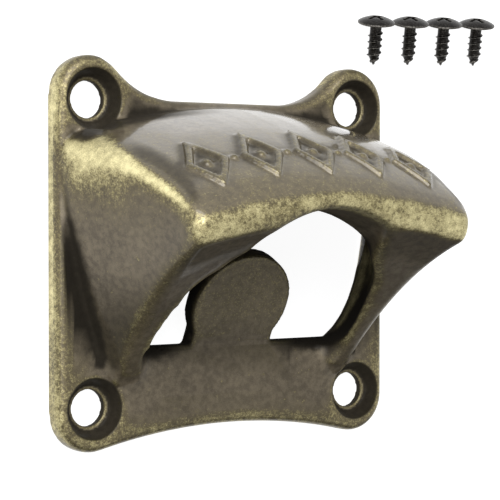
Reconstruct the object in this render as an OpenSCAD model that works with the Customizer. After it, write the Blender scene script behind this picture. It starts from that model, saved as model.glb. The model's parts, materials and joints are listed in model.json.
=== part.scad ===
// Wall-mounted bottle opener: one hollow casting and its four loose screws.
// Millimetres. The wall face of the plate lies on z = 0, +Y is up on the wall, +Z is away from the wall,
// and the origin is the centre of the four screw holes.

/* [Wall plate] */
// Distance between the screw holes, left to right
hole_dx = 54; // [48:0.5:64]
// Distance between the screw holes, bottom to top
hole_dy = 51; // [46:0.5:60]
// Thickness of the plate
plate_t = 4; // [3:0.1:6]
// Radius of the ear around each screw hole
ear_r = 6.6; // [6.2:0.1:8]
// Distance from each hole out to the centre of its ear
ear_shift = 0.7; // [0:0.1:1.2]
// Height of the top edge at its middle, above the line of the upper holes
top_edge = 0.2; // [-1:0.1:3]
// Radius of the curve that runs from an ear down to the top edge
dip_r = 16; // [10:0.5:22]
// Height of the bottom edge at its middle, below the line of the lower holes
bottom_edge = 4.1; // [3:0.1:6]
// Radius of the plate's rounded front edge
plate_edge_r = 1.8; // [0.8:0.1:2.4]

/* [Screw holes] */
// Diameter of the bore for the screw
bore_d = 6.2; // [4.5:0.1:6.4]
// Diameter of the ring that the screw head sits on
seat_d = 7.8; // [7.6:0.1:9.4]
// Diameter of the recess at the front of the plate
recess_d = 10.3; // [9.8:0.1:11]
// Metal left under the screw head
seat_t = 1.6; // [1:0.1:2.4]

/* [Hood] */
// Distance from the wall to the front of the lip
hood_depth = 35.6; // [32:0.2:42]
// Thickness of the hood's wall
wall = 2.8; // [2:0.1:3.4]
// Half width of the hood at the plate
hood_half_w = 33.3; // [32:0.1:33.5]
// Half width of the hood at the lip
lip_half_w = 27.4; // [25:0.1:30]
// Height of the hood's top at the plate, above the centre
hood_top = 24.9; // [23:0.1:25.4]
// Height of the lip's upper edge at its middle, above the centre
lip_top = 9; // [7:0.1:12]
// Distance from the lip's front back to the bend in the hood's top
brow_back = 4.5; // [3.5:0.1:6]
// Height of that bend above the lip's upper edge
brow_up = 9.5; // [8.5:0.1:11]
// Height of the lip at its two ends
lip_h = 4; // [3:0.1:5]
// Radius of the arch that the hood's top follows from side to side
arch_r = 100; // [80:1:160]
// Radius of the ridges between the hood's top and its flanks
ridge_r = 5; // [2:0.1:7]
// Radius of the lip's rounded nose
nose_r = 1.9; // [1:0.1:2.4]
// Drop of the arm tips below the centre
arm_drop = 22.8; // [20:0.1:24]
// Half distance between the outer edges of the arms at their tips
arm_half_w = 23.8; // [22:0.1:25.5]
// Radius of the arms' outer edges
arm_edge_r = 1.2; // [0.6:0.1:2]
// Distance that the lip's lower corners stand in from its upper ones
lip_tuck = 0.8; // [0.4:0.1:1.6]

/* [Mouth and window] */
// Depth of the window's bottom edge below the centre
window_drop = 15.6; // [14:0.1:17]
// Half width of the window's bottom edge at the front of the plate
window_half_w = 20.2; // [18:0.1:21]
// Widening of the window from the front of the plate to the wall, on each side
window_flare = 2.4; // [1:0.1:2.6]
// Height of the mouth's arch at its middle, above the centre
mouth_top = 7.4; // [5:0.1:8]
// Radius of the mouth's arch
mouth_arch_r = 18.5; // [16:0.5:30]
// Half width of the mouth where its arch begins
mouth_half_w = 10.4; // [9.5:0.1:12]
// Spread of the mouth's sides from there up to its arch
mouth_spread = 0.6; // [0.2:0.1:1.2]
// Length of the mouth's arch, from its front edge back into the hood
mouth_run = 9.4; // [6:0.1:11]
// Half width of the mouth's arch at its inner end
mouth_back_w = 14.6; // [13:0.1:16]
// Radius of the fillet that eases each arm's foot into the plate, below the window
fillet_r = 5; // [2:0.1:6]

/* [Tongue] */
// Radius of the tongue's disc
tongue_r = 9.6; // [8.4:0.1:10.5]
// Height of the disc's centre above the window's bottom edge, along the tongue
tongue_rise = 9; // [6:0.1:9.4]
// Width of the tongue's neck
tongue_neck = 16.2; // [12:0.1:17]
// Thickness of the tongue
tongue_t = 3.4; // [2.5:0.1:3.8]
// Forward lean of the tongue, in degrees
tongue_lean = 27; // [18:1:28]

/* [Ornament] */
// Number of lozenges in the raised row
lozenges = 5; // [3:1:5]
// Distance from one lozenge to the next
lozenge_pitch = 10.2; // [9:0.1:10.6]
// Width of a lozenge
lozenge_w = 7.8; // [5:0.1:8]
// Height of a lozenge along the hood's surface
lozenge_h = 14; // [8:0.1:14.6]
// Width of the raised strokes
stroke = 1.1; // [0.7:0.1:1.4]
// Height of the relief above the surface
relief = 0.6; // [0.3:0.1:0.9]
// Distance of the row's centre from the wall
ornament_z = 27.5; // [24:0.5:28]

/* [Screws] */
// Outer diameter of the thread
thread_d = 2.9; // [2.7:0.1:4]
// Diameter of the screw's core
core_d = 2.1; // [1.8:0.1:2.5]
// Pitch of the thread
thread_pitch = 1.2; // [1:0.05:1.6]
// Diameter of the screw head
head_d = 6.8; // [6.6:0.1:8]
// Height of the domed head
head_h = 1.3; // [1.1:0.1:2.6]
// Height of the head's straight rim
rim_h = 0.3; // [0.2:0.1:0.5]
// Length of the screw under its head
screw_l = 8; // [7:0.1:12]
// Length of the screw's pointed tip
tip_l = 2; // [1.2:0.1:2.6]
// Length left without thread under the head
plain_l = 0.9; // [0.6:0.1:1.4]
// Width of the cross recess's slots
slot_w = 0.8; // [0.5:0.1:1]
// Distance between the loose screws
screw_gap = 8.1; // [8:0.1:12]
// Distance of the first loose screw to the right of the screw holes
screw_aside = 5.3; // [0:0.1:10]
// Distance of the loose screws' tips above the plate's ears
screw_above = 0.9; // [0.6:0.1:6]
// Distance that each screw lies higher up than the one before it
screw_rise = 0.3; // [0:0.1:1]
// Turn of the loose screws on the surface they lie on, in degrees
screw_turn = 9; // [0:1:20]

/* [Hidden] */
$fn = 64;
brass = "#8a7a50";
dark_steel = "#4a463f";

// Steps that the curves are drawn with
arc_steps = 14;
edge_steps = 5;
under_steps = 5;
low_steps = 3;
flank_steps = 8;
ridge_steps = 6;
top_steps = 6;
hood_sections = 24;
cavity_sections = 14;
mouth_sections = 8;
side_steps = 4;
thread_steps = 16;

// Distance that a cut or a root runs past the face it meets, and the least that two cuts share
overlap = 1;
skim = 0.02;

// Bends of the arms' fronts and of the mouth's sides, as shares of their run out from the plate and their rise
arm_bend = [0.45, 0.72];
mouth_bend = [0.55, 0.12];
// Height at which the hood's flanks and the cavity's sides bend, as a share of a section's height
hood_belly = 0.55;
cavity_belly = 0.2;
// Largest shares of a section's height that its ridge and its low edge take
ridge_share = 0.42;
edge_share = 0.25;
// Reach of the ridge down the flank, as a share of its radius
ridge_reach = 0.8;
// Share of the lip's height that its rounded nose takes from below
nose_lift = 0.75;
// Power with which the cavity narrows towards the mouth, and the share of its depth at which its ceiling bends
cavity_taper = 3;
ceiling_bend = 0.85;

function mix(a, b, t) = a + (b - a) * t;
function unit(v) = v / norm(v);
function arc(centre, r, from, to, n, first = 0) =
    [for (i = [first : n]) centre + r * [cos(mix(from, to, i / n)), sin(mix(from, to, i / n))]];

// A closed outline at height z from its right half, which runs from the bottom to the top
function both_halves(half, z) =
    let (left = [for (i = [len(half) - 1 : -1 : 0]) if (half[i].x > 0) [-half[i].x, half[i].y]])
    [for (p = concat(half, left)) [p.x, p.y, z]];

// A curve between two points that leans towards a third, and the share of it at which x is reached
function bow(p, t) = (1 - t) ^ 2 * p[0] + 2 * t * (1 - t) * p[1] + t ^ 2 * p[2];
function bow_at(p, x) =
    let (
        a = p[0].x - 2 * p[1].x + p[2].x,
        b = 2 * (p[1].x - p[0].x),
        c = p[0].x - x
    )
    -2 * c / (b + sqrt(b ^ 2 - 4 * a * c));
function bow_y(p, x) = bow(p, bow_at(p, min(max(x, p[0].x), p[2].x))).y;

// Triangles of a flat cap on a ring of n points, in a strip that zigzags across it from one side to the other
function cap(n) =
    let (
        start = floor(floor(n / 2) / 2),
        zigzag = [for (i = [0 : n - 1]) (start + n + (i % 2 == 1 ? (i + 1) / 2 : -i / 2)) % n]
    )
    [
        for (i = [0 : n - 3])
            i % 2 == 1 ? [zigzag[i], zigzag[i + 2], zigzag[i + 1]] : [zigzag[i], zigzag[i + 1], zigzag[i + 2]]
    ];

// A closed skin over rings of points: capped at its two ends, or joined end to end
module skin(rings, joined = false) {
    n = len(rings[0]);
    spans = joined ? len(rings) : len(rings) - 1;
    last = (len(rings) - 1) * n;
    points = [for (ring = rings) each ring];
    sides = [
        for (i = [0 : spans - 1], j = [0 : n - 1])
            let (
                a = i * n + j,
                b = i * n + (j + 1) % n,
                c = (i + 1) % len(rings) * n + (j + 1) % n,
                d = (i + 1) % len(rings) * n + j
            )
            each [[a, c, b], [a, d, c]]
    ];
    ends = [for (t = cap(n)) each [t, [last + t[2], last + t[1], last + t[0]]]];
    polyhedron(points, joined ? sides : concat(sides, ends));
}

// Wall plate: its outline is made of arcs, so an inset outline only changes their radii
hole_x = hole_dx / 2;
hole_y = hole_dy / 2;
top_y = hole_y + top_edge;
bottom_y = -hole_y - bottom_edge;
ear_y = hole_y + ear_shift;
dip_rise = top_y + dip_r - ear_y;
dip_x = hole_x - sqrt((dip_r + ear_r) ^ 2 - dip_rise ^ 2);
dip_angle = atan2(dip_rise, dip_x - hole_x);
foot_gap = bottom_edge - ear_shift;
foot_r = (hole_x ^ 2 + foot_gap ^ 2 - ear_r ^ 2) / (2 * (ear_r - foot_gap));
foot_angle = atan2(-foot_gap - foot_r, -hole_x);

function plate_half(d) = concat(
    arc([0, bottom_y - foot_r], foot_r + d, 90, 180 + foot_angle, arc_steps),
    arc([hole_x, -ear_y], ear_r - d, foot_angle, 0, arc_steps, 1),
    arc([hole_x, ear_y], ear_r - d, 0, dip_angle, arc_steps),
    arc([dip_x, top_y + dip_r], dip_r + d, dip_angle - 180, -90, arc_steps, 1)
);

module plate() {
    rounding = [
        for (i = [0 : edge_steps])
            let (a = 90 * i / edge_steps)
            both_halves(plate_half(plate_edge_r * (1 - cos(a))), plate_t - plate_edge_r * (1 - sin(a)))
    ];
    skin(concat([both_halves(plate_half(0), 0)], rounding));
}

// Hood: profiles of its top and of the arms' fronts, as distance from the wall and height
lip_z = hood_depth - nose_r;
top_profile = [
    [plate_t, hood_top],
    [hood_depth - brow_back, lip_top + brow_up],
    [hood_depth, lip_top]
];
lip_low = lip_top - arch(lip_half_w) - lip_h;
front_profile = [
    [plate_t, -arm_drop],
    [mix(plate_t, lip_z, arm_bend.x), mix(-arm_drop, lip_low, arm_bend.y)],
    [lip_z, lip_low]
];

function arch(x, r = arch_r) = x ^ 2 / (2 * r);
function depth_share(z) = max(0, z - plate_t) / (hood_depth - plate_t);
function nose_share(z) = min(1, max(0, z - lip_z) / nose_r);
function nose_inset(z) = 1 - sqrt(1 - nose_share(z) ^ 2);
function hood_w(z) = mix(hood_half_w, lip_half_w, depth_share(z)) - nose_r * nose_inset(z);
function arm_w(z) = mix(arm_half_w, lip_half_w - lip_tuck, depth_share(z)) - nose_r * nose_inset(z);
function front_y(z) = bow_y(front_profile, z) + nose_lift * lip_h * nose_inset(z);
function under_y(low, x, z) = low.y + depth_share(z) * (arch(low.x) - arch(x));

// Upper part of a section's right half: up the flank, round the ridge and over the top to the middle
function upper_half(flank, from, top, r_top) =
    let (
        crest = flank[2],
        tall = crest.y - flank[0].y,
        r = min(ridge_r, ridge_share * tall),
        to = 1 - ridge_reach * r / tall,
        top_in = [crest.x - r, top - arch(crest.x - r, r_top)],
        ridge_bow = [bow(flank, to), crest, top_in]
    )
    concat(
        [for (i = [1 : flank_steps - 1]) bow(flank, mix(from, to, i / flank_steps))],
        [for (i = [0 : ridge_steps]) bow(ridge_bow, i / ridge_steps)],
        [for (i = [1 : top_steps]) let (x = top_in.x * (1 - i / top_steps)) [x, top - arch(x, r_top)]]
    );

function hood_section(z) =
    let (
        low = [arm_w(z), front_y(z)],
        top = bow_y(top_profile, z),
        crest = [hood_w(z), top - arch(hood_w(z))],
        tall = crest.y - low.y,
        flank = [low, [crest.x, mix(low.y, crest.y, hood_belly)], crest],
        edge = min(arm_edge_r, edge_share * tall),
        low_in = [low.x - edge, under_y(low, low.x - edge, z)],
        low_bow = [low_in, low, bow(flank, edge / tall)],
        under = [
            for (i = [0 : under_steps - 1])
                let (x = low_in.x * i / under_steps)
                [x, under_y(low, x, z)]
        ],
        corner = [for (i = [0 : low_steps]) bow(low_bow, i / low_steps)]
    )
    both_halves(concat(under, corner, upper_half(flank, edge / tall, top, arch_r)), z);

module hood() {
    skin([
        for (i = [0 : hood_sections])
            hood_section(mix(overlap, hood_depth, sin(90 * i / hood_sections)))
    ]);
}

// Cavity: open at the wall through the window and at the front through the mouth, whose arch runs back into it
mouth_z = hood_depth - wall;
arch_z = mouth_z - mouth_run;
ceiling = [
    [plate_t, hood_top - wall],
    [mix(plate_t, arch_z, ceiling_bend), top_profile[1].y],
    [arch_z, mouth_top]
];
mouth_edge = [
    [plate_t, window_half_w],
    [mix(plate_t, mouth_z, mouth_bend.x), mix(window_half_w, mouth_half_w, mouth_bend.y)],
    [mouth_z, mouth_half_w]
];

function cavity_share(z) = min(1, max(0, z) / arch_z) ^ cavity_taper;
function mouth_share(z) = min(1, max(0, z - arch_z) / mouth_run);
function mouth_w(z) = mix(mouth_back_w, mouth_half_w + mouth_spread, mouth_share(z));
function flare(z) = window_flare * max(0, 1 - max(0, z) / plate_t);
function cavity_w(z) = mix(hood_w(z) - wall, mouth_w(z), cavity_share(z)) + flare(z) / 2;
function cavity_section(z) =
    let (
        low = [bow_y(mouth_edge, z) + flare(z), max(-window_drop, front_y(min(z, mouth_z)))],
        top = bow_y(ceiling, z),
        r_top = 1 / mix(1 / arch_r, 1 / mouth_arch_r, cavity_share(z)),
        crest = [cavity_w(z), top - arch(cavity_w(z), r_top)],
        bend = [crest.x + flare(z) / 2, mix(low.y, crest.y, cavity_belly)]
    )
    both_halves(concat(
        [[low.x, -window_drop - skim], low],
        upper_half([low, bend, crest], 0, top, r_top)
    ), z);

module cavity() {
    heights = [
        -overlap,
        0,
        for (i = [0 : cavity_sections]) mix(plate_t, arch_z, (1 - cos(180 * i / cavity_sections)) / 2),
        for (i = [1 : mouth_sections]) mix(arch_z, mouth_z, i / mouth_sections),
        hood_depth + overlap
    ];
    skin([for (z = heights) cavity_section(z)]);
}

// Below the window only the arms stand out from the plate, so this cut bares the plate's face between them
module between_feet() {
    rotate([90, 0, 0])
        translate([0, 0, window_drop])
            linear_extrude(arm_drop + overlap - window_drop)
                translate([fillet_r - window_half_w, plate_t - skim + fillet_r])
                    offset(fillet_r)
                        square([2 * (window_half_w - fillet_r), hood_depth]);
}

// Tongue: a disc on a short neck that leans out over the mouth from the window's bottom edge
module tongue_outline() {
    neck_top = tongue_rise - sqrt(tongue_r ^ 2 - (tongue_neck / 2) ^ 2);
    intersection() {
        union() {
            translate([0, tongue_rise])
                circle(tongue_r);
            translate([-tongue_neck / 2, -tongue_t])
                square([tongue_neck, tongue_t + neck_top]);
        }
        translate([-tongue_r - overlap, -tongue_t])
            square([2 * (tongue_r + overlap), 2 * tongue_r + tongue_rise]);
    }
}

// Its root is trimmed flush with the wall face
module tongue() {
    side = 2 * hood_depth;
    intersection() {
        translate([0, -window_drop, 0])
            rotate([tongue_lean, 0, 0])
                translate([0, 0, plate_t * cos(tongue_lean) - tongue_t])
                    linear_extrude(tongue_t)
                        tongue_outline();
        translate([-side / 2, -side / 2, 0])
            cube(side);
    }
}

// Raised row of lozenges and beads on the hood's top
function hood_point(x, t) = let (p = bow(top_profile, t)) [x, p.y - arch(x), p.x];
function slope(t) = 2 * mix(top_profile[1] - top_profile[0], top_profile[2] - top_profile[1], t);
function outward(x, t) = let (s = slope(t)) unit(cross([0, s.y, s.x], [1, -x / arch_r, 0]));
ornament_t = bow_at(top_profile, ornament_z);

function on_hood(x, along, up) =
    let (t = ornament_t + along / norm(slope(ornament_t)))
    hood_point(x, t) + up * outward(x, t);

// Points round a lozenge, evenly spaced along each of its four sides
function diamond(w, h) =
    let (corners = [[w / 2, 0], [0, h / 2], [-w / 2, 0], [0, -h / 2]])
    [for (i = [0 : 3], j = [0 : side_steps - 1]) mix(corners[i], corners[(i + 1) % 4], j / side_steps)];

module lozenge(x) {
    side = norm([lozenge_w, lozenge_h]);
    outer = diamond(lozenge_w, lozenge_h);
    in_w = lozenge_w - 2 * stroke * side / lozenge_h;
    in_h = lozenge_h - 2 * stroke * side / lozenge_w;
    inner = diamond(in_w, in_h);
    skin([
        for (i = [0 : len(outer) - 1]) [
            on_hood(x + outer[i].x, outer[i].y, -relief),
            on_hood(x + outer[i].x, outer[i].y, relief),
            on_hood(x + inner[i].x, inner[i].y, relief),
            on_hood(x + inner[i].x, inner[i].y, -relief)
        ]
    ], joined = true);
}

module bead(x, r) {
    translate(on_hood(x, 0, relief - r))
        sphere(r = r, $fn = 24);
}

module ornament() {
    first = -(lozenges - 1) / 2;
    for (i = [0 : lozenges - 1]) {
        lozenge((first + i) * lozenge_pitch);
        bead((first + i) * lozenge_pitch, stroke);
    }
    for (i = [1 : lozenges - 1])
        bead((first + i - 0.5) * lozenge_pitch, 0.8 * stroke);
}

// Screw hole: bore, seat and the recess that runs straight out through the hood's corner
module screw_hole() {
    translate([0, 0, -overlap])
        cylinder(d = bore_d, h = plate_t + 2 * overlap);
    translate([0, 0, seat_t])
        cylinder(d1 = seat_d, d2 = recess_d, h = plate_t - seat_t);
    translate([0, 0, plate_t])
        cylinder(d = recess_d, h = hood_depth / 2);
}

module casting() {
    color(brass)
        difference() {
            union() {
                difference() {
                    union() {
                        plate();
                        hood();
                    }
                    cavity();
                    between_feet();
                }
                tongue();
                ornament();
            }
            for (x = [-hole_x, hole_x], y = [-hole_y, hole_y])
                translate([x, y, 0])
                    screw_hole();
        }
}

// Screw: its axis is Z, with the underside of the head on z = 0 and the tip below
thread_half = 0.3 * thread_pitch;
root_r = 0.35 * core_d;
tip_r = core_d / 8;
run_out_r = 0.45 * core_d;

function thread_r(z) = mix(tip_r, thread_d / 2, min(1, z / tip_l));

// The thread starts close to the tip and runs out inside the core at its upper end
module thread() {
    count = floor((screw_l - plain_l - 2 * thread_half) / thread_pitch * thread_steps);
    skin([
        for (i = [0 : count])
            let (
                a = 360 * i / thread_steps,
                z = thread_half + i * thread_pitch / thread_steps,
                crest = i == count ? run_out_r : thread_r(z),
                root = min(root_r, crest * root_r / core_d * 2)
            )
            [
                [root * cos(a), root * sin(a), z + thread_half - screw_l],
                [crest * cos(a), crest * sin(a), z - screw_l],
                [root * cos(a), root * sin(a), z - thread_half - screw_l]
            ]
    ]);
}

module screw() {
    dome_h = head_h - rim_h;
    dome_r = ((head_d / 2) ^ 2 + dome_h ^ 2) / (2 * dome_h);
    difference() {
        union() {
            intersection() {
                translate([0, 0, head_h - dome_r])
                    sphere(r = dome_r);
                cylinder(d = head_d, h = head_h);
            }
            translate([0, 0, tip_l - screw_l])
                cylinder(d = core_d, h = screw_l - tip_l + overlap);
            translate([0, 0, -screw_l])
                cylinder(d1 = 0, d2 = core_d, h = tip_l);
            thread();
        }
        for (a = [0, 90])
            rotate(a)
                translate([-head_d / 4, -slot_w / 2, head_h / 2])
                    cube([head_d / 2, slot_w, head_h]);
    }
}

// A loose screw lies level with the plate's wall face, on the rim of its head and on its thread
lie_angle = atan2((head_d - thread_d) / 2, screw_l - tip_l);
screw_x = hole_x + screw_aside;
screw_y = ear_y + ear_r + screw_above + screw_l * cos(lie_angle);
screw_z = head_d / 2 * cos(lie_angle);

module loose_screw(i) {
    color(dark_steel)
        translate([screw_x + (i - 1) * screw_gap, screw_y + (i - 1) * screw_rise, screw_z])
            rotate([lie_angle - 90, 0, screw_turn])
                screw();
}

casting();
loose_screw(1);  // screw_1
loose_screw(2);  // screw_2
loose_screw(3);  // screw_3
loose_screw(4);  // screw_4
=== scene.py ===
# %% [markdown]
# This lesson dresses a wall-mounted bottle opener: one hollow casting with an antique brass finish, and
# the four loose screws that come with it. The solid model is loaded first and stays as it is. Each piece
# made below takes its place and its size from it, so nothing has to be fitted by eye.

# %% Load the frame
import json
import math
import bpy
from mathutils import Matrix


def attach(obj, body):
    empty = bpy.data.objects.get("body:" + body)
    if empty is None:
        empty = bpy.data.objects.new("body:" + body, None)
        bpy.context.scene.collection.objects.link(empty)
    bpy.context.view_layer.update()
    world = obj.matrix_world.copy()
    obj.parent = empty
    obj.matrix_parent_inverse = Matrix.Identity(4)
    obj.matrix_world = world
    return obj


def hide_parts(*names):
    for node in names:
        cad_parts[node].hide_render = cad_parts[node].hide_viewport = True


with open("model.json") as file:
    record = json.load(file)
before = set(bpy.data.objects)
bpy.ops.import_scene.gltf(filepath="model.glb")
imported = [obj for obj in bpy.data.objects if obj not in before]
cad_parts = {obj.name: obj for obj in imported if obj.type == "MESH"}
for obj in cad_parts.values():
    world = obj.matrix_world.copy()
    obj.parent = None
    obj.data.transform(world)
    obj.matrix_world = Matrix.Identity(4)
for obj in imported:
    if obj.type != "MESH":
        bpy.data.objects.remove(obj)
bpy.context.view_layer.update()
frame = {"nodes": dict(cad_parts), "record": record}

from types import SimpleNamespace

import bmesh
import bpy
import numpy as np
from mathutils import Matrix, Vector
from mathutils.bvhtree import BVHTree
from mathutils.kdtree import KDTree

MM = 0.001

# %% [markdown]
# The camera stands where the photograph was taken from: to the left of the opener, level with its middle,
# and far enough back for a long lens. A long lens keeps the two sides of the plate nearly parallel.

# %% Camera
EYE = Vector((-172.2, 7.6, 260.2)) * MM
LOOK = Vector((0.5663, -0.0235, -0.8243))
FOCAL_PIXELS = 1790
IMAGE_PIXELS = 500
SENSOR = 36

camera_data = bpy.data.cameras.new("camera")
camera_data.sensor_width = SENSOR
camera_data.lens = FOCAL_PIXELS / IMAGE_PIXELS * SENSOR
camera_data.clip_start = 10 * MM
camera = bpy.data.objects.new("camera", camera_data)
bpy.context.scene.collection.objects.link(camera)
back = -LOOK.normalized()
right = Vector((0, 1, 0)).cross(back).normalized()
up = back.cross(right)
turn = Matrix((right, up, back)).transposed().to_4x4()
camera.matrix_world = Matrix.Translation(EYE) @ turn
bpy.context.scene.camera = camera
bpy.context.scene.view_settings.view_transform = "Standard"
print("lens, mm:", round(camera_data.lens, 1))

# %% [markdown]
# A casting has no sharp edges: the mould's corners are rounded and the finish is tumbled. Bevelling every
# edge of such a free shape would be slow, so the casting is cut anew from small cubes (a voxel remesh),
# which breaks all edges alike, and then smoothed a little. The copy's loose triangles are merged first,
# because the remesh needs one closed skin.

# %% Recast a copy of a solid
MERGE_WITHIN = 0.002 * MM


def copy_of(node, name):
    mesh = frame["nodes"][node].data.copy()
    mesh.name = name
    mesh.materials.clear()
    bm = bmesh.new()
    bm.from_mesh(mesh)
    bmesh.ops.remove_doubles(bm, verts=bm.verts, dist=MERGE_WITHIN)
    bm.to_mesh(mesh)
    bm.free()
    piece = bpy.data.objects.new(name, mesh)
    bpy.context.scene.collection.objects.link(piece)
    return piece


def settle(piece):
    """Makes the shape that the modifiers give the piece's own mesh."""
    graph = bpy.context.evaluated_depsgraph_get()
    mesh = bpy.data.meshes.new_from_object(piece.evaluated_get(graph))
    mesh.name = piece.name
    piece.modifiers.clear()
    piece.vertex_groups.clear()
    piece.data = mesh
    mesh.shade_smooth()


def add_smooth(piece, name, rounds):
    smooth = piece.modifiers.new(name, "SMOOTH")
    smooth.factor = 0.5
    smooth.iterations = rounds
    return smooth


def recast(piece, grain, rounds):
    remesh = piece.modifiers.new("recast", "REMESH")
    remesh.mode = "VOXEL"
    remesh.voxel_size = grain
    add_smooth(piece, "tumbled", rounds)
    settle(piece)


casting = copy_of("casting", "opener_casting")
recast(casting, grain=0.3 * MM, rounds=2)
print("casting vertices:", len(casting.data.vertices))

# %% [markdown]
# Several steps need to know what stands out on a shape and what lies in a corner. A point stands out where
# it lies above the mean of its neighbourhood, and the more often each point is averaged with its
# neighbours, the wider that neighbourhood is. Ramps turn such heights, and places too, into shares from 0
# to 1. All places and heights below are in millimetres.

# %% Measure what stands out
def neighbour_mean(values, edges, rounds):
    """Averages each vertex with its neighbours, again and again, so that a value spreads over the skin."""
    count = len(values)
    ends = np.concatenate([edges, edges[:, ::-1]])
    links = np.maximum(np.bincount(ends[:, 0], minlength=count), 1)
    for _ in range(rounds):
        sums = [np.bincount(ends[:, 0], weights=column[ends[:, 1]], minlength=count) for column in values.T]
        values = 0.5 * values + 0.5 * np.stack(sums, axis=1) / links[:, None]
    return values


def vertex_array(mesh, field):
    values = np.empty(len(mesh.vertices) * 3)
    getattr(mesh, field).foreach_get("co" if field == "vertices" else "vector", values)
    return values.reshape(-1, 3)


def edge_array(mesh):
    edges = np.empty(len(mesh.edges) * 2, dtype=np.int64)
    mesh.edges.foreach_get("vertices", edges)
    return edges.reshape(-1, 2)


def spread(mesh, values, rounds):
    return neighbour_mean(values[:, None], edge_array(mesh), rounds)[:, 0]


def standing_out(mesh, rounds):
    """Height of each vertex above its smoothed neighbourhood."""
    places = vertex_array(mesh, "vertices")
    normals = vertex_array(mesh, "vertex_normals")
    lift = places - neighbour_mean(places, edge_array(mesh), rounds)
    return np.einsum("ij,ij->i", lift, normals) / MM


def ramp(values, low, high):
    """0 up to low, 1 from high on, and a soft rise between them."""
    share = np.clip((values - low) / (high - low), 0, 1)
    return share * share * (3 - 2 * share)


def between(values, low, high, fade):
    """1 from low to high, fading to 0 on both sides."""
    return ramp(values, low - fade, low) * ramp(-values, -high - fade, -high)


# %% [markdown]
# Not every edge is worn alike. A smooth modifier with a vertex group softens some places more than others:
# the group says how much each place is softened. The screw seats and the raised ornament are kept out of
# it, because they stay crisp on the real opener.

# %% Soften by weight
GROUP_STEPS = 10


def soften(piece, name, weights, rounds):
    group = piece.vertex_groups.new(name=name)
    levels = np.round(weights * GROUP_STEPS).astype(int)
    for level in range(1, GROUP_STEPS + 1):
        group.add(np.flatnonzero(levels == level).tolist(), level / GROUP_STEPS, "REPLACE")
    add_smooth(piece, name, rounds).vertex_group = name
    settle(piece)
    print(name, "softened at", np.count_nonzero(levels), "vertices")


def from_hole(places):
    """Distance of each place from the axis of its nearest screw hole."""
    pattern = next(m for m in frame["record"]["mounts"] if m["kind"] == "bolt_pattern")["dims"]
    hole = np.array([pattern["spacing_x_mm"], pattern["spacing_y_mm"]]) / 2
    return np.linalg.norm(np.abs(places[:, :2]) - hole, axis=1)


def away_from_detail(mesh):
    """0 on the screw seats and on the ornament's row, 1 elsewhere."""
    places = vertex_array(mesh, "vertices") / MM
    row = between(places[:, 2], 20, 33, 1) * ramp(vertex_array(mesh, "vertex_normals")[:, 1], 0.1, 0.3)
    return ramp(from_hole(places), 5.4, 6.4) * (1 - row)


# %% [markdown]
# The walls between the arms are drawn out of the mould, so they are smooth from end to end. The remesh
# leaves small steps on them, because they run askew to its cubes, and a long smoothing takes these away.
# After that, all edges that stand out are worn a little.

# %% Inner walls and worn edges
def on_inner_walls(mesh):
    """1 on the arms' walls that face each other, and on their edges."""
    x, _, z = (vertex_array(mesh, "vertices") / MM).T
    inward = ramp(-np.sign(x) * vertex_array(mesh, "vertex_normals")[:, 0], 0.2, 0.5)
    walls = inward * between(np.abs(x), 13, 24, 2) * between(z, 2, 22, 1)
    return ramp(spread(mesh, walls, rounds=12), 0.05, 0.4)


soften(casting, "inner walls", on_inner_walls(casting.data), rounds=60)
proud = ramp(standing_out(casting.data, rounds=20), 0.01, 0.06)
soften(casting, "worn edges", proud * away_from_detail(casting.data), rounds=8)

# %% [markdown]
# Caps and fingers rub along the arms and the mouth, and their edges are well rounded. A bevel would need a
# clean loop of edges, which a recast skin doesn't have, so these places are found by where they lie: near
# the mouth's arch, at its two corners, and where it ends in the arms.

# %% Arms and mouth
ARCH_MIDDLE_Y = -11.1
ARCH_RADIUS = 18.5
MOUTH_CORNER = (10.6, 4.6)
MOUTH_END = (15.5, -3.4, 22)


def on_arms(mesh):
    """1 on the arms and round the mouth, 0 on the plate and the tongue."""
    x, _, z = (vertex_array(mesh, "vertices") / MM).T
    return ramp(z, 4.1, 5) * np.maximum(ramp(np.abs(x), 10, 11.5), ramp(z, 20, 22))


def round_mouth(mesh):
    """1 along the mouth's arch, at its corners and where it ends in the arms, fading out round them."""
    x, y, z = (vertex_array(mesh, "vertices") / MM).T
    off = np.abs(x)
    from_arch = np.abs(np.hypot(x, y - ARCH_MIDDLE_Y) - ARCH_RADIUS)
    arch = ramp(-from_arch, -3.2, -1) * ramp(-off, -13, -11) * ramp(z, 30.5, 32.5)
    from_corner = np.hypot(off - MOUTH_CORNER[0], y - MOUTH_CORNER[1])
    corners = ramp(-from_corner, -4.5, -1.5) * ramp(z, 27, 30)
    from_end = np.linalg.norm(np.stack([off, y, z], axis=1) - MOUTH_END, axis=1)
    ends = ramp(-from_end, -8, -4)
    return np.max([arch, corners, ends], axis=0)


proud = ramp(standing_out(casting.data, rounds=40), 0.02, 0.10)
proud = ramp(spread(casting.data, proud, rounds=8), 0.05, 0.5)
soften(casting, "arms and mouth", proud * away_from_detail(casting.data) * on_arms(casting.data), rounds=60)
soften(casting, "mouth", round_mouth(casting.data), rounds=180)

# %% [markdown]
# The arms' feet run out softly into the plate, as metal does where it fills a rounded corner of the mould.
# Corners are the opposite of what stands out, so the same measure finds them with its sign turned round.

# %% Feet
def on_feet(mesh):
    x, y, z = (vertex_array(mesh, "vertices") / MM).T
    return between(np.abs(x), 13, 25, 2) * ramp(-y, 14, 17) * ramp(z, 3.2, 3.8)


corner = ramp(-standing_out(casting.data, rounds=60), 0.02, 0.10)
corner = ramp(spread(casting.data, corner, rounds=120), 0.01, 0.1)
soften(casting, "feet", corner * away_from_detail(casting.data) * on_feet(casting.data), rounds=250)

# %% [markdown]
# The recast skin has the same small faces everywhere, also where it is nearly flat. The decimate modifier
# merges those first, and keeps the small ones along the edges.

# %% Fewer faces
MOST_TRIANGLES = 190_000


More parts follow.
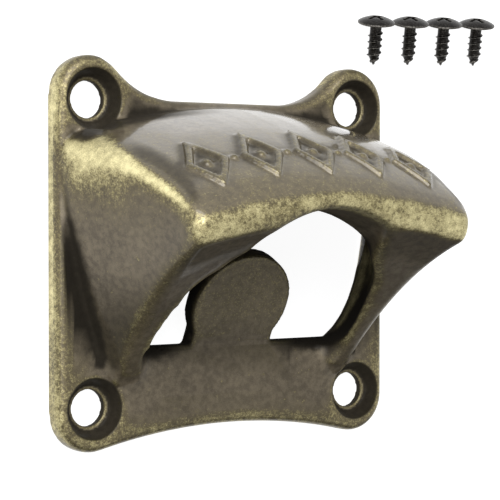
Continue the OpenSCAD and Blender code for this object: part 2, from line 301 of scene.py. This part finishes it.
def triangle_count(mesh):
    return sum(len(face.vertices) - 2 for face in mesh.polygons)


thin = casting.modifiers.new("fewer faces", "DECIMATE")
thin.ratio = min(1, MOST_TRIANGLES / triangle_count(casting.data))
settle(casting)
print("casting triangles:", triangle_count(casting.data))

# %% [markdown]
# Antique brass is dipped until it is dark and then rubbed, so the bright metal comes back on what stands
# out, and the dark stays in what is sheltered. A place is sheltered where rays that leave it soon meet
# metal again. All this is measured on a coarser copy, the gauge, which is quicker and evenly meshed.

# %% Gauge
RAY_START = 0.05 * MM


def sheltered(mesh, reach, rays):
    """Share of rays over each vertex that meet the mesh again within the reach."""
    tree = BVHTree.FromPolygons([v.co for v in mesh.vertices], [p.vertices for p in mesh.polygons])
    golden = math.pi * (3 - math.sqrt(5))
    fan = []
    for i in range(rays):
        rise = math.sqrt((i + 0.5) / rays)
        aside = math.sqrt(1 - rise * rise)
        fan.append(Vector((aside * math.cos(i * golden), aside * math.sin(i * golden), rise)))
    shares = np.zeros(len(mesh.vertices))
    for i, vertex in enumerate(mesh.vertices):
        turned = vertex.normal.to_track_quat("Z", "Y")
        start = vertex.co + vertex.normal * RAY_START
        hits = sum(tree.ray_cast(start, turned @ ray, reach)[0] is not None for ray in fan)
        shares[i] = hits / rays
    return spread(mesh, shares, rounds=4)


def read_skin(mesh):
    """Where each vertex lies, which way it faces, how far it stands out and how sheltered it is."""
    x, y, z = (vertex_array(mesh, "vertices") / MM).T
    nx, ny, nz = vertex_array(mesh, "vertex_normals").T
    return SimpleNamespace(
        mesh=mesh,
        x=x,
        y=y,
        z=z,
        off=np.abs(x),
        nx=nx,
        ny=ny,
        nz=nz,
        sideways=np.abs(nx),
        stand=standing_out(mesh, rounds=68),
        shelter=sheltered(mesh, reach=40 * MM, rays=24),
    )


gauge = bpy.data.objects.new("gauge", casting.data.copy())
bpy.context.scene.collection.objects.link(gauge)
recast(gauge, grain=0.6 * MM, rounds=1)
skin = read_skin(gauge.data)
print("gauge vertices:", len(gauge.data.vertices))
print("mean shelter:", round(float(skin.shelter.mean()), 3))

# %% [markdown]
# The polishing wheel reaches some places better than others. On the hood it bares the two ridges most, and
# from them some way down the flanks, then the lip's nose and, faintly, the top and the arms' outer edges.
# At the hood's root the ridges are kept unworn, as part of a painted dark reflection of the plate there. On
# the ridges' crests the wear is set so high that the brass turns nearly white: that is a painted highlight
# on top of the real wear. Each place is described by its height over the wall and by the way it faces.

# %% Wear on the hood
# Ridge wear is real, but at this strength the crests turn nearly white, which is a painted highlight.
RIDGE_WEAR_AND_HIGHLIGHT = 0.95
NOSE_WEAR = 0.62
NOSE_WEAR_RIGHT = 0.12
ARM_WEAR = 0.35
TOP_WEAR = 0.2


# The hood's root: the ridges stay unworn here and the dip adds a painted dark reflection of the plate.
def root_painted_reflection(skin):
    return ramp(skin.ny, 0.5, 0.8) * between(skin.z, 4.4, 7.5, 2.5) * ramp(skin.off, 1, 17)


def hood_wear(skin):
    """Wear of the ridges, nose, top and arms, and what runs down the flanks on top of it."""
    over_ridge = skin.sideways - 0.38 * ramp(skin.z, 10, 24)
    ridge = ramp(over_ridge, 0.2, 0.5) * ramp(skin.ny, 0.02, 0.35) * ramp(skin.z, 3, 6)
    down = spread(skin.mesh, ridge, rounds=350) * ramp(skin.sideways, 0.5, 0.9)
    flank = down * (1.6 + 1.4 * ramp(-skin.z, -22, -8))
    top = ramp(skin.ny, 0, 0.6) * ramp(skin.z, 8, 16)
    lip = ramp(skin.z, 33, 34.6) * ramp(skin.ny, -0.95, -0.6) * ramp(-skin.ny, -0.7, -0.2)
    nose = (NOSE_WEAR + NOSE_WEAR_RIGHT * ramp(skin.x, 4, 16)) * lip
    arms = ramp(skin.stand, 0.2, 0.6) * ramp(skin.sideways, 0.35, 0.75) * ramp(skin.z, 8, 12)
    bared = [RIDGE_WEAR_AND_HIGHLIGHT * ridge * (1 - root_painted_reflection(skin)), nose, ARM_WEAR * arms, TOP_WEAR * top]
    return np.max(bared, axis=0), flank


hood_bared, flank_bared = hood_wear(skin)
print("hood's mean wear:", round(float(hood_bared.mean()), 3))

# %% [markdown]
# The plate's rim is worn all round, its upright sides more than the slope in front of them. Where the
# hood's flanks end flush with the plate there is no edge to rub. The rim of the mouth and the arms' inner
# edges are worn by the caps, although they lie in the shelter of the hood.

# %% Wear on the rim and the mouth
RIM_WEAR = 0.46
MOST_WEAR = 0.95
MOUTH_WEAR = 0.55
INNER_EDGE_WEAR = 0.5


def on_plate(z):
    return ramp(-z, -4.8, -4.3)


def rim_wear(skin):
    edge = ramp(skin.stand, 0.2, 0.6) * on_plate(skin.z)
    slope = ramp(skin.nz, 0.2, 0.6) * ramp(-skin.nx, 0.15, 0.35) * ramp(skin.y, -26, -20)
    flush = between(skin.y, 9, 19, 4) * ramp(-skin.nx, 0.5, 0.8)
    sides = 0.26 * ramp(-skin.nx, 0.4, 0.9) + 0.2 * ramp(skin.nx, 0.2, 0.6) - 0.06 * ramp(skin.ny, 0, 0.5)
    return edge * (RIM_WEAR + sides) * (1 - 0.4 * slope) * (1 - 0.45 * flush)


def mouth_rim(skin):
    return ramp(skin.z, 31, 34) * ramp(-skin.off, -15, -11) * ramp(-skin.ny, 0.1, 0.5)


def inner_edges(skin):
    facing_down = ramp(-skin.ny, 0.3, 0.6)
    return ramp(skin.stand, 0.25, 0.6) * between(skin.off, 11.5, 21, 1) * ramp(skin.z, 7, 10) * facing_down


inside = ramp(-skin.off, -21, -19) * ramp(-skin.z, -20, -16) * ramp(skin.y, -25, -22)
reached = (1 - ramp(skin.shelter, 0.2, 0.4)) * (1 - inside)
wheel = np.minimum(np.maximum(hood_bared, rim_wear(skin)) + flank_bared, MOST_WEAR) * reached
caps = np.maximum(MOUTH_WEAR * mouth_rim(skin), INNER_EDGE_WEAR * inner_edges(skin))
rubbed = np.maximum(wheel, caps)
print("casting's mean wear:", round(float(rubbed.mean()), 3))

# %% [markdown]
# The dark dip stays in every shelter, crease and hollow, as the patina does on the real opener. The same
# dark colour is painted on as shade low on the flanks, under the lip, on the plate below the mouth and at
# the tongue's foot, and as a painted dark reflection of the plate along the hood's root. Beside the arms it
# is patina in the corner and painted shade where it spreads onto the plate. A darker fringe also runs
# beside the bright ridges. The tongue and the mouth's rim are wiped by the caps, so they keep less of it.

# %% Dip and painted shade
WIPED = 0.7


# Dark masks: patina in shelters, creases and hollows, and painted shade and a painted dark reflection
# elsewhere.
def dip_and_painted_shade(skin):
    tongue_x = ramp(-skin.off, -12, -10.5)
    tongue = tongue_x * ramp(skin.nz, 0.2, 0.5) * between(skin.z, 5, 18, 2) * ramp(skin.y, -22, -19)
    beside = ramp(skin.off, 24, 26) * between(skin.y, -14, 8, 4) * ramp(skin.nz, 0.4, 0.9)
    fringe = between(skin.sideways, 0.34, 0.52, 0.12)
    pools = {
        "shelter": (1.0, ramp(skin.shelter, 0.15, 0.33)),
        "creases": (0.9, ramp(-standing_out(skin.mesh, rounds=23), 0.02, 0.25)),
        "hollows": (0.9, ramp(-standing_out(skin.mesh, rounds=120), 0.08, 0.35)),
        # Patina in the corner, and painted shade where it spreads onto the plate beside the arms.
        "patina and painted shade beside the arms": (0.95, beside * ramp(skin.shelter, 0.03, 0.12)),
        # Painted dark reflection of the plate on the hood's root.
        "root": (0.85, root_painted_reflection(skin)),
        # Painted shade, darker towards the bottom of the flanks.
        "painted shade low on the flanks": (0.6, ramp(-skin.y, 0, 14) * ramp(skin.sideways, 0.5, 0.8) * ramp(skin.z, 4, 6)),
        "fringe": (0.55, fringe * ramp(skin.ny, 0.5, 0.7) * ramp(skin.z, 13, 20)),
        # Painted shade on the faces under the lip.
        "painted shade under the lip": (0.5, ramp(-skin.ny, 0.78, 0.86) * ramp(skin.z, 24, 28)),
        # Painted shade on the plate below the mouth.
        "painted shade on the plate below": (0.2, ramp(-skin.y, 17, 19) * ramp(skin.nz, 0.8, 0.95) * ramp(-skin.off, -24, -20)),
        # Painted shade at the tongue's foot.
        "painted shade at the tongue's foot": (1.0, tongue * ramp(-skin.y, 5, 14)),
    }
    deepest = np.max([depth * share for depth, share in pools.values()], axis=0)
    return (1 - WIPED * np.maximum(tongue, mouth_rim(skin))) * deepest


dipped_and_shaded = dip_and_painted_shade(skin)
gloss = 0.3 + 0.7 * ramp(skin.ny, 0.1, 0.5) * ramp(skin.z, 4, 6)
print("casting's mean dip:", round(float(dipped_and_shaded.mean()), 3))

# %% [markdown]
# The casting takes each of these values from the nearest points of the gauge, and keeps it in an attribute
# that the material reads. Nodes that look for edges by themselves know nothing of the wheel, so they would
# bare the wrong ones too. The raised ornament is small, and is measured on the casting itself.

# %% Carry the wear over to the casting
NEAREST = 4
NEAR_ENOUGH = 0.1 * MM


def keep(mesh, name, values):
    attribute = mesh.attributes.new(name, "FLOAT", "POINT")
    attribute.data.foreach_set("value", np.clip(values, 0, 1).astype(np.float32))
    print(name, "mean", round(float(np.mean(values)), 3))


def carry_over(source, mesh, values):
    """Takes each vertex's values from the source's nearest vertices, the nearer the more."""
    tree = KDTree(len(source.vertices))
    for vertex in source.vertices:
        tree.insert(vertex.co, vertex.index)
    tree.balance()
    found = [tree.find_n(vertex.co, NEAREST) for vertex in mesh.vertices]
    index = np.array([[hit[1] for hit in hits] for hits in found])
    near = 1 / (np.array([[hit[2] for hit in hits] for hits in found]) + NEAR_ENOUGH)
    near /= near.sum(axis=1, keepdims=True)
    for name, value in values.items():
        keep(mesh, name, (value[index] * near).sum(axis=1))


carry_over(gauge.data, casting.data, {"rubbed": rubbed, "dipped_and_shaded": dipped_and_shaded, "gloss": gloss})
bpy.data.objects.remove(gauge)
keep(casting.data, "relief", ramp(standing_out(casting.data, rounds=25), 0.02, 0.10))

# %% [markdown]
# The screw holes are too small for the gauge, and their edges would blur. Each hole is a plain circle, so
# its masks come from the distance to its axis instead: the dip that stands in the recess, the plate round
# it that is clear of dip, and a thin ring of light brass at the edge of the bore, which is a painted glint.

# %% Screw holes
BORE_RADIUS = 3.1
RECESS_RADIUS = 5.15
RECESS_DIP = 0.84


def hole_masks(mesh):
    places = vertex_array(mesh, "vertices") / MM
    facing_out = vertex_array(mesh, "vertex_normals")[:, 2]
    out = from_hole(places)
    z = places[:, 2]
    recess = ramp(-out, -RECESS_RADIUS - 0.2, -RECESS_RADIUS + 0.1) * ramp(facing_out, -0.6, -0.3)
    collar = ramp(-out, -7, -6) * ramp(facing_out, 0.3, 0.6) * on_plate(z)
    seat = ramp(facing_out, 0.2, 0.5) * ramp(-z, -2.6, -2.0)
    # A painted glint: a thin ring of light brass at the bore's edge.
    ring = between(out, BORE_RADIUS - 0.05, BORE_RADIUS + 0.4, 0.15) * seat
    return {
        "ring": ring,
        "clear": 1 - np.maximum(recess, collar),
        "pooled": RECESS_DIP * recess * (1 - 0.8 * ring),
    }


for name, values in hole_masks(casting.data).items():
    keep(casting.data, name, values)

# %% [markdown]
# The finish is a stack of effects: broad clouds in the patina, a fine sandy grain left by the mould, and
# brass that shows through in specks, the denser the more a place is rubbed. The screws have the grain and
# the rubbed edges too, in other colours, so these effects are node groups that each material places with
# its own values. A few helpers keep the node code short.

# %% Node helpers
def new_group(name, inputs, outputs):
    group = bpy.data.node_groups.new(name, "ShaderNodeTree")
    for socket, kind, value in inputs:
        made = group.interface.new_socket(socket, in_out="INPUT", socket_type=kind)
        if value is not None:
            made.default_value = value
    for socket, kind in outputs:
        group.interface.new_socket(socket, in_out="OUTPUT", socket_type=kind)
    entry = group.nodes.new("NodeGroupInput")
    leave = group.nodes.new("NodeGroupOutput")
    return group, entry.outputs, leave.inputs


def feed(tree, socket, value):
    """Links a socket's source to it, or sets its value."""
    if isinstance(value, bpy.types.NodeSocket):
        tree.links.new(value, socket)
    else:
        socket.default_value = value


def math_node(tree, operation, *values):
    node = tree.nodes.new("ShaderNodeMath")
    node.operation = operation
    for socket, value in zip(node.inputs, values):
        feed(tree, socket, value)
    return node.outputs[0]


def scaled(tree, value, times, plus=0.0):
    return math_node(tree, "MULTIPLY_ADD", value, times, plus)


def largest(tree, first, *others):
    for other in others:
        first = math_node(tree, "MAXIMUM", first, other)
    return first


def noise(tree, vector, scale, detail=2.0, roughness=0.5):
    node = tree.nodes.new("ShaderNodeTexNoise")
    feed(tree, node.inputs["Vector"], vector)
    feed(tree, node.inputs["Scale"], scale)
    node.inputs["Detail"].default_value = detail
    node.inputs["Roughness"].default_value = roughness
    return node.outputs["Fac"]


def smooth_step(tree, value, low, high):
    node = tree.nodes.new("ShaderNodeMapRange")
    node.interpolation_type = "SMOOTHSTEP"
    for name, given in (("Value", value), ("From Min", low), ("From Max", high)):
        feed(tree, node.inputs[name], given)
    return node.outputs["Result"]


def blend(tree, share, first, second):
    node = tree.nodes.new("ShaderNodeMix")
    node.data_type = "RGBA"
    feed(tree, node.inputs["Factor"], share)
    feed(tree, node.inputs["A"], first)
    feed(tree, node.inputs["B"], second)
    return node.outputs["Result"]


def place(tree, group, **values):
    node = tree.nodes.new("ShaderNodeGroup")
    node.node_tree = group
    for name, value in values.items():
        feed(tree, node.inputs[name.replace("_", " ")], value)
    return node.outputs


# %% [markdown]
# A sand mould leaves grains in the skin, with finer dust between them. The group takes the grains' size,
# because the screws' skin is finer than the casting's. It gives the grain, the dust, and a height for a
# bump, in which slow waves are added so that reflections waver a little.

# %% Sandy grain group
DUST_FINENESS = 2.3
WAVE_FINENESS = 0.33


def make_grain():
    group, take, give = new_group(
        "sandy grain",
        [("Place", "NodeSocketVector", None), ("Grains per metre", "NodeSocketFloat", 2000.0)],
        [("Grain", "NodeSocketFloat"), ("Dust", "NodeSocketFloat"), ("Height", "NodeSocketFloat")],
    )
    where, size = take["Place"], take["Grains per metre"]
    grain = noise(group, where, size, detail=3.0, roughness=0.65)
    dust = noise(group, where, scaled(group, size, DUST_FINENESS), detail=2.0, roughness=0.6)
    waves = noise(group, where, scaled(group, size, WAVE_FINENESS), detail=2.0)
    feed(group, give["Grain"], grain)
    feed(group, give["Dust"], smooth_step(group, dust, 0.33, 0.67))
    feed(group, give["Height"], scaled(group, grain, 0.6, waves))
    return group


grain_group = make_grain()
print("group:", grain_group.name)

# %% [markdown]
# Rubbing doesn't bare the metal evenly: it takes the tops of the grains first. The group adds the wear to
# the grain and cuts the sum off, so a little wear gives a few bright specks and much wear a bright field.

# %% Rubbed specks group
def make_specks():
    group, take, give = new_group(
        "rubbed specks",
        [("Rubbed", "NodeSocketFloat", 0.0), ("Grain", "NodeSocketFloat", 0.5)],
        [("Mask", "NodeSocketFloat")],
    )
    reach = scaled(group, take["Rubbed"], 0.6, -0.3)
    feed(group, give["Mask"], smooth_step(group, math_node(group, "ADD", take["Grain"], reach), 0.32, 0.68))
    return group


specks_group = make_specks()
print("group:", specks_group.name)

# %% [markdown]
# The casting's finish starts from the patina, a brown grey with slow clouds and a finer mottle, which
# turns olive where it has been rubbed thin. Brass shows through in specks, from a deep olive yellow to
# nearly white; the nearly white brass on the ridges' crests is a painted highlight, and the light brass
# ring at each bore's edge is a painted glint. Sheltered places, corners and recesses keep the dark dip,
# which is dull; the same dark colour also carries the painted shade and the painted dark reflection of the
# dip's masks. The bare patina has a thin coat of wax that makes the hood's top shine. The grain also drives
# the roughness and a bump.

# %% Antique brass
PATINA = (0.066, 0.052, 0.033, 1)
PATINA_PALE = (0.184, 0.151, 0.100, 1)
# The dark dip colour: patina in hollows, and also the colour of the painted shade and the painted dark
# reflection.
DIP_AND_SHADE = (0.010, 0.008, 0.005, 1)
OLIVE = (0.080, 0.064, 0.020, 1)
BRASS_DEEP = (0.125, 0.098, 0.036, 1)
# The palest brass, nearly white, is a painted highlight on the ridges' crests.
BRASS_PALE_HIGHLIGHT = (0.800, 0.725, 0.410, 1)
GRAINS_PER_METRE = 2300.0
CLOUDS_PER_METRE = 140.0
MOTTLE_PER_METRE = 900.0
STRAYS_PER_METRE = 1100.0


def new_material(name):
    material = bpy.data.materials.new(name)
    material.use_nodes = True
    tree = material.node_tree
    return material, tree, tree.nodes["Principled BSDF"].inputs


def attribute(tree, name):
    node = tree.nodes.new("ShaderNodeAttribute")
    node.attribute_name = name
    return node.outputs["Fac"]


def bump(tree, height, depth, strength):
    node = tree.nodes.new("ShaderNodeBump")
    node.inputs["Strength"].default_value = strength
    node.inputs["Distance"].default_value = depth
    feed(tree, node.inputs["Height"], height)
    return node.outputs["Normal"]


def patchy_wear(tree, clouds, mottle):
    """The measured wear, uneven by the clouds and the mottle, and the rubbed ornament."""
    rubbed = attribute(tree, "rubbed")
    patches = scaled(tree, mottle, 0.5, scaled(tree, clouds, 0.5, -0.5))
    swing = scaled(tree, rubbed, -1.2, 1.5)
    wear = math_node(tree, "MULTIPLY", rubbed, scaled(tree, swing, patches, 1.0))
    return largest(tree, wear, scaled(tree, attribute(tree, "relief"), 0.35))


def antique_brass():
    material, tree, shader = new_material("antique_brass")
    where = tree.nodes.new("ShaderNodeTexCoord").outputs["Object"]
    grain = place(tree, grain_group, Place=where, Grains_per_metre=GRAINS_PER_METRE)
    clouds = smooth_step(tree, noise(tree, where, CLOUDS_PER_METRE, detail=4.0), 0.3, 0.7)
    mottle = smooth_step(tree, noise(tree, where, MOTTLE_PER_METRE, detail=3.0), 0.3, 0.7)
    rubbed = patchy_wear(tree, clouds, mottle)

    specks = place(tree, specks_group, Rubbed=rubbed, Grain=grain["Grain"])["Mask"]
    strays = scaled(tree, smooth_step(tree, noise(tree, where, STRAYS_PER_METRE), 0.68, 0.76), 0.6)
    # The ring adds a painted glint of light brass at each bore's edge.
    mask = largest(tree, specks, strays, scaled(tree, attribute(tree, "ring"), 0.5))

    broad = scaled(tree, clouds, 0.25, scaled(tree, mottle, 0.5))
    tone = scaled(tree, grain["Dust"], 0.25, broad)
    thin = math_node(tree, "POWER", rubbed, 0.8)
    patina = blend(tree, thin, blend(tree, tone, PATINA, PATINA_PALE), OLIVE)
    # High polish turns the ridges' crests nearly white: a painted highlight on top of the real wear.
    polish_and_painted_highlight = scaled(tree, math_node(tree, "POWER", rubbed, 3.0), 0.7)
    brass = blend(tree, scaled(tree, grain["Dust"], 0.35, polish_and_painted_highlight), BRASS_DEEP, BRASS_PALE_HIGHLIGHT)

    # The dark mix: patina in hollows, and painted shade and a painted dark reflection where the dip masks
    # say so.
    dipped_and_shaded = scaled(tree, attribute(tree, "dipped_and_shaded"), attribute(tree, "clear"), attribute(tree, "pooled"))
    bare = math_node(tree, "SUBTRACT", 1.0, largest(tree, dipped_and_shaded, mask, rubbed))
    rough = scaled(tree, dipped_and_shaded, 0.6, 0.28)
    feed(tree, shader["Base Color"], blend(tree, dipped_and_shaded, blend(tree, mask, patina, brass), DIP_AND_SHADE))
    feed(tree, shader["Metallic"], scaled(tree, mask, 0.4, 0.5))
    feed(tree, shader["Roughness"], scaled(tree, grain["Grain"], 0.25, rough))
    feed(tree, shader["Coat Weight"], math_node(tree, "MULTIPLY", bare, attribute(tree, "gloss")))
    shader["Coat Roughness"].default_value = 0.1
    shader["Specular IOR Level"].default_value = 0.3
    feed(tree, shader["Normal"], bump(tree, grain["Height"], depth=0.08 * MM, strength=0.4))
    return material


casting.data.materials.append(antique_brass())
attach(casting, "opener")
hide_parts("casting")
print("finish:", casting.data.materials[0].name)

# %% [markdown]
# The screws are rolled and blackened. Their solids already have the dome, the cross recess and the thread,
# so copies of them are recast as the opener was, from much smaller cubes, which rounds the thread's crests.
# The dark finish is a little paler where the metal has been handled.

# %% Blackened screws
STEEL = (0.010, 0.009, 0.008, 1)
STEEL_PALE = (0.110, 0.104, 0.094, 1)
SCREW_GRAINS_PER_METRE = 4000.0
SCREW_COUNT = 4


def blackened_steel():
    material, tree, shader = new_material("blackened_steel")
    where = tree.nodes.new("ShaderNodeTexCoord").outputs["Object"]
    grain = place(tree, grain_group, Place=where, Grains_per_metre=SCREW_GRAINS_PER_METRE)
    mask = place(tree, specks_group, Rubbed=attribute(tree, "rubbed"), Grain=grain["Grain"])["Mask"]
    feed(tree, shader["Base Color"], blend(tree, mask, STEEL, STEEL_PALE))
    shader["Metallic"].default_value = 0.9
    feed(tree, shader["Roughness"], scaled(tree, grain["Dust"], 0.2, 0.25))
    feed(tree, shader["Normal"], bump(tree, grain["Height"], depth=0.03 * MM, strength=0.4))
    return material


def make_screw(number, finish):
    name = f"screw_{number}"
    screw = copy_of(name, f"opener_{name}")
    recast(screw, grain=0.1 * MM, rounds=3)
    keep(screw.data, "rubbed", 0.2 + 0.6 * ramp(standing_out(screw.data, rounds=60), 0.0, 0.2))
    screw.data.materials.append(finish)
    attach(screw, name)
    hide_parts(name)
    return len(screw.data.polygons)


steel = blackened_steel()
print("screw faces:", [make_screw(number, steel) for number in range(1, SCREW_COUNT + 1)])

# %% [markdown]
# The photograph's background is white paper without an edge. The floor and the world are white to the
# camera and to reflections, and dimmer as lights, so the lamps still shape the object. The floor also takes
# the object's soft shadow.

# %% Floor and world
FLOOR_HALF = 0.6
FLOOR_DROP = 0.2 * MM
FLOOR_GLOW = 0.95
PAPER_SHADE = 0.3
WORLD_FILL = 0.4


def seen(tree):
    """1 for the rays that show the background: camera, glossy and transmission rays."""
    path = tree.nodes.new("ShaderNodeLightPath").outputs
    return largest(tree, path["Is Camera Ray"], path["Is Glossy Ray"], path["Is Transmission Ray"])


def matt(name, shade):
    material, tree, shader = new_material(name)
    shader["Base Color"].default_value = (shade, shade, shade, 1)
    shader["Roughness"].default_value = 1.0
    shader["Specular IOR Level"].default_value = 0.0
    return material, tree, shader


def stage_sheet(name, material, half_x, half_y, matrix):
    bm = bmesh.new()
    bmesh.ops.create_grid(bm, x_segments=1, y_segments=1, size=1)
    bmesh.ops.scale(bm, vec=(half_x, half_y, 1), verts=bm.verts)
    bmesh.ops.transform(bm, matrix=matrix, verts=bm.verts)
    mesh = bpy.data.meshes.new(name)
    bm.to_mesh(mesh)
    bm.free()
    mesh.materials.append(material)
    sheet = bpy.data.objects.new(name, mesh)
    bpy.context.scene.collection.objects.link(sheet)
    return sheet


def make_floor():
    paper, tree, shader = matt("white_paper", PAPER_SHADE)
    shader["Emission Color"].default_value = (1, 1, 1, 1)
    feed(tree, shader["Emission Strength"], scaled(tree, seen(tree), FLOOR_GLOW))
    return stage_sheet("floor", paper, FLOOR_HALF, FLOOR_HALF, Matrix.Translation((0, 0, -FLOOR_DROP)))


def make_world():
    world = bpy.data.worlds.new("white room")
    world.use_nodes = True
    tree = world.node_tree
    sky = tree.nodes["Background"].inputs
    sky["Color"].default_value = (1, 1, 1, 1)
    feed(tree, sky["Strength"], largest(tree, seen(tree), WORLD_FILL))
    bpy.context.scene.world = world
    return world


print("background:", make_floor().name, "and", make_world().name)

# %% [markdown]
# Metal shows its surroundings, and in an all-white room it has no form. Photographers stand black cards
# beside it: the faces that look towards a card turn dark. Two cards below the opener, one lying and one
# standing, darken the undersides, and one in the window behind the mouth darkens the cavity's walls. The
# camera doesn't see them. A large lamp above the opener lights it, and a weak one on the left fills in.

# %% Cards and lamps
CARD_SHADE = 0.10


def aim(spot, target):
    return (target - spot).to_track_quat("-Z", "Y")


def card(name, spot, target, half_x, half_y):
    matrix = Matrix.Translation(spot) @ aim(spot, target).to_matrix().to_4x4()
    black, _, _ = matt(name, CARD_SHADE)
    sheet = stage_sheet(name, black, half_x, half_y, matrix)
    sheet.visible_camera = False
    sheet.visible_shadow = False


def lamp(name, spot, size, power):
    data = bpy.data.lights.new(name, "AREA")
    data.shape = "DISK"
    data.size = size
    data.energy = power
    made = bpy.data.objects.new(name, data)
    made.location = spot
    made.rotation_euler = aim(spot, Vector((0, 0, 0))).to_euler()
    made.visible_camera = False
    bpy.context.scene.collection.objects.link(made)


card("card_lying", Vector((0.03, -0.11, 0.001)), Vector((0.03, -0.11, 1)), half_x=0.14, half_y=0.072)
card("card_standing", Vector((0.06, -0.18, 0.03)), Vector((0.06, 0, 0.03)), half_x=0.18, half_y=0.03)
card("card_window", Vector((0, 0.003, 0.0003)), Vector((0, 0.003, 1)), half_x=0.030, half_y=0.019)
lamp("key", Vector((-0.20, 0.38, 0.50)), size=0.6, power=4.6)
lamp("fill", Vector((-0.45, 0.05, 0.35)), size=0.4, power=1.0)
print("lamps:", [light.name for light in bpy.data.lights])
